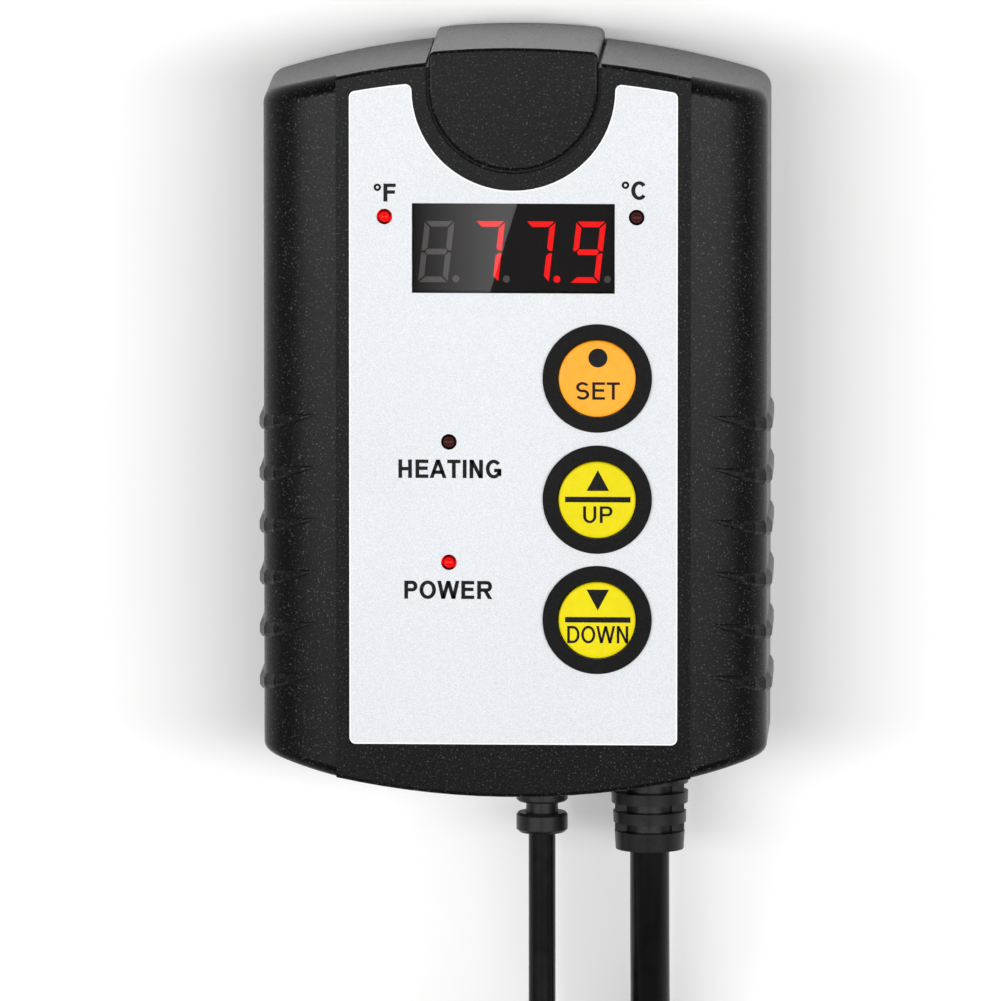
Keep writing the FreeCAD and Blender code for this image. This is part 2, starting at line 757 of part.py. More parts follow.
def segment_outline(letter):
    """One segment's outline in a digit's own frame, its middle at the origin."""
    w, h, s, g = DIGIT_WIDTH / 2, DIGIT_HEIGHT / 2, STROKE, SEGMENT_GAP
    top = [(-w + g, h), (w - g, h), (w - s - g, h - s), (-w + s + g, h - s)]
    right = [(w, h - g), (w, g), (w - s / 2, 0 + g), (w - s, s / 2 + g), (w - s, h - s - g)]
    bar_end = w - s / 2 - g
    bar = [(-w + s, s / 2), (w - s, s / 2), (bar_end, 0), (w - s, -s / 2), (-w + s, -s / 2), (-bar_end, 0)]
    return {
        "a": top,
        "b": right,
        "c": [(x, -y) for x, y in right],
        "d": [(x, -y) for x, y in top],
        "e": [(-x, -y) for x, y in right],
        "f": [(-x, y) for x, y in right],
        "g": bar,
    }[letter]


def segment_solids():
    """The prisms of the lit and of the dark segments and points."""
    lit = []
    dark = []
    middle_y = number(module_y) + number(CENTRE_Y) - DIGIT_DROP
    base_z = number(MODULE_TOP)
    lift = FreeCAD.Vector(0, 0, 0.15)
    for place_number, (digit, on, point_on) in enumerate(SHOWN):
        x0 = (place_number - 1.5) * DIGIT_PITCH + DIGITS_X
        for letter in SEGMENTS[digit]:
            points = [
                FreeCAD.Vector(x0 + x + y * SLANT, middle_y + y, base_z) for x, y in segment_outline(letter)
            ]
            solid = Part.Face(Part.makePolygon(points + points[:1])).extrude(lift)
            (lit if on else dark).append(solid)
        point_x = x0 + DIGIT_WIDTH / 2 + POINT_AWAY
        point_at = FreeCAD.Vector(point_x, middle_y - DIGIT_HEIGHT / 2 + POINT_RADIUS, base_z)
        (lit if point_on else dark).append(Part.makeCylinder(POINT_RADIUS, lift.z, point_at))
    return lit, dark


lit_solids, dark_solids = segment_solids()
for label_text, solids in (("display_segments_lit", lit_solids), ("display_segments_unlit", dark_solids)):
    feature = doc.addObject("Part::Feature", "Made_" + label_text)
    feature.Shape = Part.makeCompound(solids)
    keep(feature, label_text)

# ---------------------------------------------------------------- boards and what is on them

panel_slab = make_box("PanelSlab", "0", "-2.5", "panel_z", "panel_half * 2", "82", "board_thick")
panel_holes = fuse(
    "PanelHoles",
    [make_rod(f"PanelHole{i}", x, y, "panel_z - 1", "1.2", "5") for i, (x, y) in enumerate(PANEL_SCREWS)],
)
keep(cut("Panel", panel_slab, panel_holes), "display_board")
board_slab = make_box("BoardSlab", "0", "-1", "board_z", "board_half * 2", "88", "board_thick")
board_holes = fuse(
    "BoardHoles",
    [make_rod(f"BoardHole{i}", x, y, "board_z - 1", "1.3", "5") for i, (x, y) in enumerate(BOARD_SCREWS)],
)
keep(cut("Board", board_slab, board_holes), "power_board")

ON_BOARD = "board_z + board_thick"


def screw(name, place, head, shank, upward):
    """A pan-head screw with a cross recess, its head's outer face at the place's z."""
    x, y, z = place
    head_radius, head_height = head
    shank_radius, shank_length = shank
    way = 1 if upward else -1
    axis = (0, 0, way)
    cap_part = make_rod(name + "_head", x, y, z, head_radius, head_height, axis)
    shank_start = f"({z}) + ({way}) * ({head_height})"
    shank_part = make_rod(name + "_shank", x, y, shank_start, shank_radius, shank_length, axis)
    body = fuse(name + "_body", [cap_part, shank_part])
    slot_z = f"({z}) - 0.4"
    bar_a = make_box(name + "_bar_a", x, y, slot_z, f"{head_radius} * 1.2", "0.5", "0.8")
    bar_b = make_box(name + "_bar_b", x, y, slot_z, "0.5", f"{head_radius} * 1.2", "0.8")
    return cut(name, body, fuse(name + "_bars", [bar_a, bar_b]))


def screws(label_text, places, z, head, shank, upward=True):
    """One screw at each of the places."""
    made = []
    for index, (x, y) in enumerate(places):
        made.append(screw(f"{label_text}_{index}", (x, y, z), head, shank, upward))
    return group(label_text, made)


corners = [(sx + "screw_x", sy + "screw_y") for sx in ("-", "") for sy in ("-", "")]
screws("housing_screws", corners, "2", ("2.7", "2"), ("1.3", "17"))
screws("board_screws", BOARD_SCREWS, f"{ON_BOARD} + 1.4", ("2.2", "1.4"), ("1.0", "5"), upward=False)
screws("panel_screws", PANEL_SCREWS, "panel_z - 1.2", ("2.0", "1.2"), ("0.9", "4.4"))


def board_block(label_text, x, y, width, length, height, rounding=0.0):
    """A block that stands on the lower board, with rounded upright edges where it has any."""
    block = make_box("Block_" + label_text, x, y, ON_BOARD, width, length, height)
    if rounding:
        block = rounded("Rounded_" + label_text, block, rounding, is_upright)
    return keep(block, label_text)


board_block("relay", "-15", "-20", "16", "20", "15.5", 0.6)
board_block("transformer", "12", "-18", "20", "22", "16", 1.0)
board_block("film_capacitor", "12", "3", "17", "7", "12", 0.5)
board_block("voltage_regulator", "14", "16", "10", "4.6", "13")
board_block("cord_terminals", "11.5", "-36.5", "20", "7", "9")
board_block("sensor_connector", "-4", "-38.5", "7.4", "6", "7")
large_can = make_rod("CapacitorA", "-18", "3", ON_BOARD, "4", "12")
small_can = make_rod("CapacitorB", "-8", "3", ON_BOARD, "3.1", "11")
group("electrolytic_capacitors", [large_can, small_can])
keep(make_rod("FuseTube", "-24", "14", f"{ON_BOARD} + 2.8", "2.6", "20", (1, 0, 0)), "fuse")
group("fuse_clips", [make_box(f"FuseClip{x}", f"-{x}", "14", ON_BOARD, "2", "5", "2.8") for x in (22, 6)])
keep(make_box("Controller", "0", "-20", "panel_z - 1.6", "10", "10", "1.6"), "microcontroller")
header_pins = []
for index in range(6):
    pin_x = f"2.54 * ({index} - 2.5)"
    pin_high = f"panel_z - ({ON_BOARD})"
    header_pins.append(make_rod(f"Pin{index}", pin_x, "28", ON_BOARD, "0.32", pin_high))
group("board_header", header_pins)
keep(make_box("RatingLabel", "0", "-14", "0.15", "44", "36", "0.15"), "rear_label")


def straight_wire(start, end, radius):
    run = FreeCAD.Vector(*end) - FreeCAD.Vector(*start)
    return Part.makeCylinder(radius, run.Length, FreeCAD.Vector(*start), run)


def wires(label_text, x, start_y, count, spacing, end_y, end_z, end_x, end_spacing, radius):
    """Straight cores from a lead's cut end to the row of terminals."""
    solids = []
    for index in range(count):
        step = index - (count - 1) / 2
        start = (number(x) + step * spacing, start_y, number("gland_z"))
        end = (end_x + step * end_spacing, end_y, end_z)
        solids.append(straight_wire(start, end, radius))
    feature = doc.addObject("Part::Feature", "Made_" + label_text)
    feature.Shape = Part.makeCompound(solids)
    place(feature, label_text)


wires("mains_wires", "power_x", -48.15, 4, 1.45, -40.0, 14.5, 11.5, 4.5, 0.7)
wires("sensor_wires", "sensor_x", -49.15, 2, 1.6, -41.5, 12.8, -4.0, 2.5, 0.6)

# ---------------------------------------------------------------- strain reliefs

def gland(label_text, x, cord, outline, start):
    """A moulded strain relief on a lead: an outline turned about the lead, with the lead's bore."""
    bore = number(cord) / 2
    inner = [(bore, outline[0][1])] + outline + [(bore, outline[-1][1])]
    feature = spun("Made_" + label_text, inner, x, start, "gland_z", (0, -1, 0))
    return feature


CORE = 3.9
power_outline = [
    (6.6, 0.0), (6.6, 1.6), (4.6, 1.6), (4.6, 7.9),
    (6.15, 7.9), (6.15, 9.95), (CORE, 9.95), (CORE, 11.35),
    (6.15, 11.35), (6.1, 13.15), (CORE, 13.15), (CORE, 14.55),
    (5.85, 14.55), (5.8, 16.35), (CORE, 16.35), (CORE, 17.75),
    (5.6, 17.75), (5.45, 20.65),
]
POWER_GLAND_Y = -49.4
power_gland = gland("power_gland", "power_x", "power_cord", power_outline, str(POWER_GLAND_Y))
WEB_HEIGHT = 3.2
WEB_OUT = 5.5
WEB_ROOT = 3.6
webs = [power_gland.Shape]
for low, high in ((9.95, 11.35), (13.15, 14.55), (16.35, 17.75)):
    y = POWER_GLAND_Y - high + number(CENTRE_Y)
    for side in (-1, 1):
        x = number("power_x") + side * (WEB_OUT + WEB_ROOT) / 2 - (WEB_OUT - WEB_ROOT) / 2
        corner = FreeCAD.Vector(x, y, number("gland_z") - WEB_HEIGHT / 2)
        webs.append(Part.makeBox(WEB_OUT - WEB_ROOT, high - low, WEB_HEIGHT, corner))
webbed = doc.addObject("Part::Feature", "PowerGland")
webbed.Shape = webs[0].multiFuse(webs[1:]).removeSplitter()
keep(webbed, "power_strain_relief")

sensor_outline = [
    (4.6, 0.0), (4.6, 1.6), (3.0, 1.6), (3.0, 8.4), (3.8, 8.4), (4.1, 8.7),
    (4.1, 11.8), (3.8, 12.1), (2.55, 12.1), (2.55, 13.9),
    (3.8, 13.9), (4.1, 14.3), (4.1, 16.6), (3.6, 17.1),
]
keep(gland("sensor_gland", "sensor_x", "sensor_cord", sensor_outline, "-50.4"), "sensor_strain_relief")

# ---------------------------------------------------------------- leads

FLOOR_LIFT = number("tie_thick")
POWER_R = number("power_cord") / 2
SENSOR_R = number("sensor_cord") / 2
COIL_Y = -143.5
POWER_COIL_X = number("power_x") - (number("power_ring") + number("power_cord"))
SENSOR_COIL_X = number("sensor_x") - (number("sensor_ring") + 1.5 * number("sensor_cord"))
SENSOR_BASE = FLOOR_LIFT + 2 * number("power_cord") + FLOOR_LIFT
"""The sensor lead's coil lies on the power cord's coil."""

power_lead_route = [
    (21.1, -49.0, 16.0),
    (21.1, -61.0, 16.0),
    (21.1, -74.0, 15.8),
    (21.1, -87.0, 14.4),
    (21.1, -99.5, 11.2),
    (21.1, -112.0, 7.3),
    (21.1, -124.0, 4.7),
    (21.1, -135.5, 3.95),
]
power_tail_route = [
    (21.1, -150.0, 10.25),
    (21.2, -158.0, 11.2),
    (21.1, -166.2, 13.6),
    (21.0, -174.4, 16.3),
    (21.1, -182.0, 17.5),
]
sensor_lead_route = [
    (3.9, -50.0, 16.0),
    (3.9, -61.0, 16.0),
    (3.9, -74.0, 15.9),
    (3.9, -88.0, 15.6),
    (3.9, -102.0, 15.7),
    (3.9, -116.0, 16.1),
    (3.9, -130.0, 16.35),
]
sensor_tail_route = [
    (-9.0, -116.5, 20.65),
    (0.0, -119.6, 21.6),
    (7.5, -124.5, 21.4),
    (12.0, -131.5, 18.2),
    (14.2, -139.5, 16.75),
    (14.3, -146.5, 16.7),
]


def tube(label_text, route, radius):
    """A round cord along straight runs joined by tangent arcs, each as large as its runs allow."""
    points = [FreeCAD.Vector(*p) for p in route]
    edges = []
    here = points[0]
    radii = []
    for before, corner, after in zip(points, points[1:], points[2:]):
        back = before - corner
        ahead = after - corner
        turn = math.pi - back.getAngle(ahead)
        reach = 0.45 * min(back.Length, ahead.Length)
        radii.append(reach / math.tan(turn / 2))
        start = corner + back.normalize() * reach
        end = corner + ahead.normalize() * reach
        # the arc's own middle, on the bisector, a sagitta inside the corner
        inward = (back + ahead).normalize()
        middle = corner + inward * (radii[-1] * (1 / math.cos(turn / 2) - 1))
        edges.append(Part.LineSegment(here, start).toShape())
        edges.append(Part.Arc(start, middle, end).toShape())
        here = end
    edges.append(Part.LineSegment(here, points[-1]).toShape())
    path = Part.Wire(edges)
    along = points[1] - points[0]
    section = Part.Wire(Part.Circle(points[0], along, radius).toShape())
    solid = path.makePipeShell([section], True, False)
    expected = math.pi * radius**2 * path.Length
    print(f"{label_text}: length {path.Length:.1f}, least radius {min(radii):.1f},"
          f" volume {solid.Volume:.1f} against {expected:.1f}")
    feature = doc.addObject("Part::Feature", "Made_" + label_text)
    feature.Shape = solid
    return keep(feature, label_text)


def coil(label_text, x, y, base, ring, columns, layers, diameter):
    """The outer shape of a coil: a flat ring with rounded edges."""
    inner = ring - columns * diameter / 2
    outer = ring + columns * diameter / 2
    height = layers * diameter
    slab = Part.makeCylinder(outer, height, FreeCAD.Vector(x, y, base))
    solid = slab.cut(Part.makeCylinder(inner, height, FreeCAD.Vector(x, y, base)))
    rims = [e for e in solid.Edges if e.Curve.TypeId == "Part::GeomCircle"]
    solid = solid.makeFillet(diameter * 0.3, rims)
    feature = doc.addObject("Part::Feature", "Made_" + label_text)
    feature.Shape = solid
    return keep(feature, label_text)


def tie(label_text, x, y, base, ring, columns, layers, diameter, angle):
    """A flat strap round the bundle of a coil's turns."""
    thick = number("tie_thick")
    width = number("tie_width")
    across = columns * diameter
    height = layers * diameter
    outer_corner = FreeCAD.Vector(-across / 2 - thick, -width / 2, -thick)
    outer = Part.makeBox(across + 2 * thick, width, height + 2 * thick, outer_corner)
    solid = outer.cut(Part.makeBox(across, width, height, FreeCAD.Vector(-across / 2, -width / 2, 0)))
    bends = []
    for edge in solid.Edges:
        box = edge.BoundBox
        if box.YLength > width - 0.1 and abs(abs(box.Center.x) - across / 2 - thick) < 0.01:
            bends.append(edge)
    solid = solid.makeFillet(thick * 0.7, bends)
    solid.translate(FreeCAD.Vector(ring, 0, 0))
    solid.rotate(FreeCAD.Vector(), FreeCAD.Vector(0, 0, 1), angle)
    solid.translate(FreeCAD.Vector(x, y, base))
    feature = doc.addObject("Part::Feature", "Made_" + label_text)
    feature.Shape = solid
    return keep(feature, label_text)


power_coil_values = (POWER_COIL_X, COIL_Y, FLOOR_LIFT, number("power_ring"), 3, 2, 2 * POWER_R)
sensor_coil_values = (SENSOR_COIL_X, COIL_Y + 1.5, SENSOR_BASE, number("sensor_ring"), 4, 2, 2 * SENSOR_R)
tube("power_cord_lead", power_lead_route, POWER_R)
coil("power_cord_coil", *power_coil_values)
tie("power_coil_tie", *power_coil_values, 215.0)
tube("power_cord_tail", power_tail_route, POWER_R)
tube("sensor_cable_lead", sensor_lead_route, SENSOR_R)
coil("sensor_cable_coil", *sensor_coil_values)
tie("sensor_coil_tie", *sensor_coil_values, 160.0)
tube("sensor_cable_tail", sensor_tail_route, SENSOR_R)

probe_x, probe_y, probe_z = sensor_tail_route[-1]
centre = number(CENTRE_Y)
probe_start = (str(probe_x), str(probe_y - centre), str(probe_z))
TOWARDS_CORDS = (0, -1, 0)
boot_outline = [(0, 0), (2.6, 0), (3.15, 1.0), (3.15, 7.4), (2.9, 8.0), (0, 8.0)]
keep(spun("Boot", boot_outline, *probe_start, TOWARDS_CORDS), "sensor_probe_boot")
tube_outline = [(0, 8.0), (2.8, 8.0), (2.8, 29.5), (2.5, 30.6), (1.7, 31.4), (0, 31.8)]
keep(spun("ProbeTube", tube_outline, *probe_start, TOWARDS_CORDS), "sensor_probe_tube")

# ---------------------------------------------------------------- plug with a socket in its back

plug_x, plug_start_y, plug_z = power_tail_route[-1]
RELIEF_LENGTH = 26.0
GROOVES = 5
GROOVE_PITCH = 4.4
GROOVE_LENGTH = 1.6
relief_outline = [(POWER_R, 0.0), (4.2, 0.0)]
for step in range(GROOVES):
    low = 1.8 + step * GROOVE_PITCH
    high = low + GROOVE_LENGTH
    radius = 4.3 + step * 0.55
    relief_outline += [(radius, low), (radius - 0.9, low), (radius - 0.9, high), (radius + 0.3, high)]
relief_outline += [(7.4, RELIEF_LENGTH), (POWER_R, RELIEF_LENGTH)]
relief_start = (str(plug_x), str(plug_start_y - centre), str(plug_z))
relief = spun("PlugRelief", relief_outline, *relief_start, TOWARDS_CORDS)
CORD_IN_RELIEF = 3.0
core_start = FreeCAD.Vector(plug_x, plug_start_y - CORD_IN_RELIEF, plug_z)
core = Part.makeCylinder(POWER_R, RELIEF_LENGTH - CORD_IN_RELIEF, core_start, FreeCAD.Vector(0, -1, 0))
filled = doc.addObject("Part::Feature", "PlugReliefFilled")
filled.Shape = relief.Shape.copy().fuse(core)
keep(filled, "plug_strain_relief")

plug_y = plug_start_y - RELIEF_LENGTH - number("plug_length") / 2
BLADE_LENGTH = 17.5
BLADE_THICK = 1.5
BLADE_ROOT = 4.0
BLADE_SPACING = 12.7
BLADE_ABOVE = 3.0
"""How far the blades' middles lie above the cord's axis."""
GROUND_BELOW = 8.9
LINE_WIDTH = 6.3
NEUTRAL_WIDTH = 7.9
BLADE_HOLE_RADIUS = 1.6
BLADE_FACE_X = plug_x - number("plug_depth") / 2
SOCKET_FACE_X = plug_x + number("plug_depth") / 2
SLOT_DEPTH = 12.0
SLOT_THICK = 2.2
SLOT_SPARE = 1.1
"""How much longer a slot is than the blade that it takes."""
GROUND_HOLE_RADIUS = 2.7
GROUND_HOLE_DEPTH = 14.0
INWARD = FreeCAD.Vector(1, 0, 0)


def plug_solid():
    """A block with rounded edges: blades leave its left face, a socket opens in its right face."""
    depth, length, width = number("plug_depth"), number("plug_length"), number("plug_width")
    block = Part.makeBox(depth, length, width, FreeCAD.Vector(BLADE_FACE_X, plug_y - length / 2, 0))
    along = [e for e in block.Edges if e.BoundBox.XLength > depth - 0.1]
    block = block.makeFillet(7.0, along)
    rims = [e for e in block.Edges if e.BoundBox.XLength < 0.01]
    block = block.makeFillet(1.5, rims)
    for side, blade_width in ((-1, LINE_WIDTH), (1, NEUTRAL_WIDTH)):
        height = blade_width + SLOT_SPARE
        y = plug_y + side * BLADE_SPACING / 2 - SLOT_THICK / 2
        corner = FreeCAD.Vector(SOCKET_FACE_X - SLOT_DEPTH, y, plug_z + BLADE_ABOVE - height / 2)
        block = block.cut(Part.makeBox(SLOT_DEPTH, SLOT_THICK, height, corner))
    hole_start = FreeCAD.Vector(SOCKET_FACE_X - GROUND_HOLE_DEPTH, plug_y, plug_z - GROUND_BELOW)
    return block.cut(Part.makeCylinder(GROUND_HOLE_RADIUS, GROUND_HOLE_DEPTH, hole_start, INWARD))


def blade(side, width, label_text):
    """A flat blade with a rounded end and a hole near it, rooted in the plug."""
    tip_x = BLADE_FACE_X - BLADE_LENGTH
    middle_y = plug_y + side * BLADE_SPACING / 2
    middle_z = plug_z + BLADE_ABOVE
    corner = FreeCAD.Vector(tip_x, middle_y - BLADE_THICK / 2, middle_z - width / 2)
    solid = Part.makeBox(BLADE_LENGTH + BLADE_ROOT, BLADE_THICK, width, corner)
    tips = [e for e in solid.Edges if e.BoundBox.YLength > BLADE_THICK - 0.1 and e.BoundBox.XMax < tip_x + 1]
    solid = solid.makeFillet(1.2, tips)
    across = FreeCAD.Vector(0, 1, 0)
    hole_start = FreeCAD.Vector(tip_x + 2 * BLADE_HOLE_RADIUS, middle_y - BLADE_THICK, middle_z)
    hole = Part.makeCylinder(BLADE_HOLE_RADIUS, 2 * BLADE_THICK, hole_start, across)
    feature = doc.addObject("Part::Feature", "Made_" + label_text)
    feature.Shape = solid.cut(hole)
    return keep(feature, label_text)


line_blade = blade(-1, LINE_WIDTH, "plug_line_blade")
neutral_blade = blade(1, NEUTRAL_WIDTH, "plug_neutral_blade")
PIN_RADIUS = 2.4
PIN_LENGTH = 19.0
PIN_TIP = 1.6
PIN_ROOT = 4.0
outward = FreeCAD.Vector(-1, 0, 0)
pin_face = FreeCAD.Vector(BLADE_FACE_X, plug_y, plug_z - GROUND_BELOW)
pin = Part.makeCylinder(PIN_RADIUS, PIN_LENGTH, pin_face, outward)
pin = pin.makeFillet(PIN_TIP, [e for e in pin.Edges if e.BoundBox.XMax < BLADE_FACE_X - PIN_LENGTH + 1])
root_start = pin_face - outward * PIN_ROOT
pin = pin.fuse(Part.makeCylinder(PIN_RADIUS - 0.3, PIN_ROOT, root_start, outward))
ground_pin = doc.addObject("Part::Feature", "GroundPin")
ground_pin.Shape = pin
keep(ground_pin, "plug_ground_pin")
plug_shape = plug_solid()
for metal in (line_blade.Shape, neutral_blade.Shape, ground_pin.Shape):
    plug_shape = plug_shape.cut(metal)
plug_body = doc.addObject("Part::Feature", "PlugBlock")
plug_body.Shape = plug_shape
keep(plug_body, "plug_body")

CONTACT = (7.5, 0.4, 5.0)
contacts = []
for side in (-1, 1):
    for leaf in (-1, 1):
        x = SOCKET_FACE_X - SLOT_DEPTH + 0.5
        y = plug_y + side * BLADE_SPACING / 2 + leaf * 0.85 - CONTACT[1] / 2
        contacts.append(Part.makeBox(*CONTACT, FreeCAD.Vector(x, y, plug_z + BLADE_ABOVE - CONTACT[2] / 2)))
contact_group = doc.addObject("Part::Feature", "Contacts")
contact_group.Shape = Part.makeCompound(contacts)
keep(contact_group, "socket_contacts")

# ---------------------------------------------------------------- checks and files

doc.recompute()
for thing in doc.Objects:
    if "Invalid" in thing.State or "Error" in thing.State:
        raise RuntimeError(f"{thing.Name} ({thing.Label}) is {thing.State}")
for thing in finished:
    if thing.Shape.isNull() or not thing.Shape.isValid():
        raise RuntimeError(f"{thing.Label} has a bad shape")

os.makedirs("parts", exist_ok=True)
for thing in finished:
    thing.Shape.exportStep(f"parts/{thing.Label}.step")
print(len(finished), "parts")
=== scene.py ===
import math

import bmesh
import bpy
from mathutils import Matrix, Vector


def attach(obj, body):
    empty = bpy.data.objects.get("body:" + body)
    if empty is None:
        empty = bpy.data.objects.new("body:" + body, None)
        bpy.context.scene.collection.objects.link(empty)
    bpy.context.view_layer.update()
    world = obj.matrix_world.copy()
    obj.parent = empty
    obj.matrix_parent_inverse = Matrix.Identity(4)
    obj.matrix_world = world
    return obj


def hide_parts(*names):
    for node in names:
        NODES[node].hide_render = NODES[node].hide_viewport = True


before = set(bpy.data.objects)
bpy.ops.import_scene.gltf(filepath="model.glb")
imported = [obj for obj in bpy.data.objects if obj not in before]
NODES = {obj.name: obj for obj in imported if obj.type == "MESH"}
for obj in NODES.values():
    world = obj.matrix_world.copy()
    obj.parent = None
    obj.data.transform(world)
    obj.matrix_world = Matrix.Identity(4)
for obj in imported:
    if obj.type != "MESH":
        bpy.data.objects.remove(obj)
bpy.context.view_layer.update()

MM = 0.001
TURN = 2 * math.pi


def mm(*values):
    return Vector([v * MM for v in values])


# ---------------------------------------------------------------- camera

CAMERA_TILT = math.radians(7.9)
CAMERA_YAW = math.radians(2.07)
CAMERA_AWAY = 3.0
CAMERA_LENS = 681.4
CAMERA_AIM = mm(-2.02, -12.26, 36.0)

camera_data = bpy.data.cameras.new("camera")
camera_data.sensor_width = 36.0
camera_data.lens = CAMERA_LENS
camera_data.clip_start = 0.1
camera_data.clip_end = 100.0
camera = bpy.data.objects.new("camera", camera_data)
bpy.context.scene.collection.objects.link(camera)
back = Vector((
    math.sin(CAMERA_YAW) * math.cos(CAMERA_TILT),
    math.sin(CAMERA_TILT),
    math.cos(CAMERA_YAW) * math.cos(CAMERA_TILT),
))
side = Vector((0, 1, 0)).cross(back).normalized()
axes = Matrix((side, back.cross(side), back)).transposed()
camera.matrix_world = Matrix.Translation(CAMERA_AIM + back * CAMERA_AWAY) @ axes.to_4x4()
bpy.context.scene.camera = camera

# ---------------------------------------------------------------- cords

# Routes are in millimetres and are the ones of part.py, except that the coils are wound here.
POWER_D = 6.3
SENSOR_D = 4.3
# Control points in each turn of a coil.
STEPS_PER_TURN = 24

POWER_LEAD = [
    (21.1, -49.0, 16.0), (21.1, -61.0, 16.0), (21.1, -74.0, 15.8), (21.1, -87.0, 14.4),
    (21.1, -99.5, 11.2), (21.1, -112.0, 7.3), (21.1, -124.0, 4.7), (21.1, -135.5, 3.95),
]
POWER_TAIL = [
    (21.1, -150.0, 10.25), (21.2, -158.0, 11.2), (21.1, -166.2, 13.6), (21.0, -174.4, 16.3),
    (21.1, -182.0, 17.5),
]
SENSOR_LEAD = [
    (3.9, -50.0, 16.0), (3.9, -61.0, 16.0), (3.9, -74.0, 15.9), (3.9, -88.0, 15.6),
    (3.9, -102.0, 15.7), (3.9, -116.0, 16.1), (3.9, -130.0, 16.35),
]
SENSOR_TAIL = [
    (-9.0, -116.5, 20.65), (0.0, -119.6, 21.6), (7.5, -124.5, 21.4), (12.0, -131.5, 18.2),
    (14.2, -139.5, 16.75), (14.3, -146.5, 16.7),
]

# A coil's own path: at so many turns, so many columns in from the outermost, on that layer.
POWER_WINDING = [
    (0, 0, 0), (0.875, 0, 0), (1, 1, 0), (1.875, 1, 0), (2, 2, 0), (2.6, 2, 0),
    (2.725, 2, 1), (3.25, 2, 1), (3.375, 1, 1), (4.2, 1, 1), (4.325, 0, 1), (5, 0, 1),
]
SENSOR_WINDING = [
    (0, 0, 0), (0.875, 0, 0), (1, 1, 0), (1.875, 1, 0), (2, 2, 0), (2.875, 2, 0), (3, 3, 0),
    (3.75, 3, 0), (3.875, 3, 1), (4.625, 3, 1), (4.75, 2, 1), (5.5, 2, 1), (5.625, 1, 1),
    (6.375, 1, 1), (6.5, 0, 1), (6.85, 0, 1),
]


def winding(centre_x, centre_y, outer, low, diameter, plan):
    """Control points round a coil, clockwise from above, that starts on its +X side."""
    swell = 1 / (0.75 + 0.25 * math.cos(TURN / STEPS_PER_TURN))
    points = []
    last = plan[-1][0]
    for step in range(int(last * STEPS_PER_TURN) + 1):
        turns = step / STEPS_PER_TURN
        for (t0, c0, l0), (t1, c1, l1) in zip(plan, plan[1:]):
            if t0 <= turns <= t1:
                share = (turns - t0) / (t1 - t0)
                column = c0 + (c1 - c0) * share
                layer = l0 + (l1 - l0) * share
        radius = (outer - column * diameter) * swell
        angle = -TURN * turns
        points.append((
            centre_x + radius * math.cos(angle),
            centre_y + radius * math.sin(angle),
            low + layer * diameter,
        ))
    return points


def cord_curve(name, route, diameter):
    data = bpy.data.curves.new(name, "CURVE")
    data.dimensions = "3D"
    data.bevel_depth = 1.0
    data.bevel_resolution = 8
    data.resolution_u = 5
    data.use_fill_caps = True
    spline = data.splines.new("NURBS")
    spline.points.add(len(route) - 1)
    for point, place in zip(spline.points, route):
        point.co = (*mm(*place), 1.0)
        point.radius = diameter / 2 * MM
    spline.order_u = 3
    spline.use_endpoint_u = True
    spline.use_smooth = True
    obj = bpy.data.objects.new(name, data)
    bpy.context.scene.collection.objects.link(obj)
    return obj


power_route = POWER_LEAD + winding(-18.2, -143.5, 39.3, 3.95, POWER_D, POWER_WINDING) + POWER_TAIL
sensor_route = SENSOR_LEAD + winding(-27.55, -142.0, 31.45, 16.35, SENSOR_D, SENSOR_WINDING) + SENSOR_TAIL
power_cord = cord_curve("power_cord", power_route, POWER_D)
sensor_cable = cord_curve("sensor_cable", sensor_route, SENSOR_D)
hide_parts("power_cord_lead", "power_cord_coil", "power_cord_tail")
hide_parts("sensor_cable_lead", "sensor_cable_coil", "sensor_cable_tail")
for cord in (power_cord, sensor_cable):
    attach(cord, "root")

# ---------------------------------------------------------------- materials


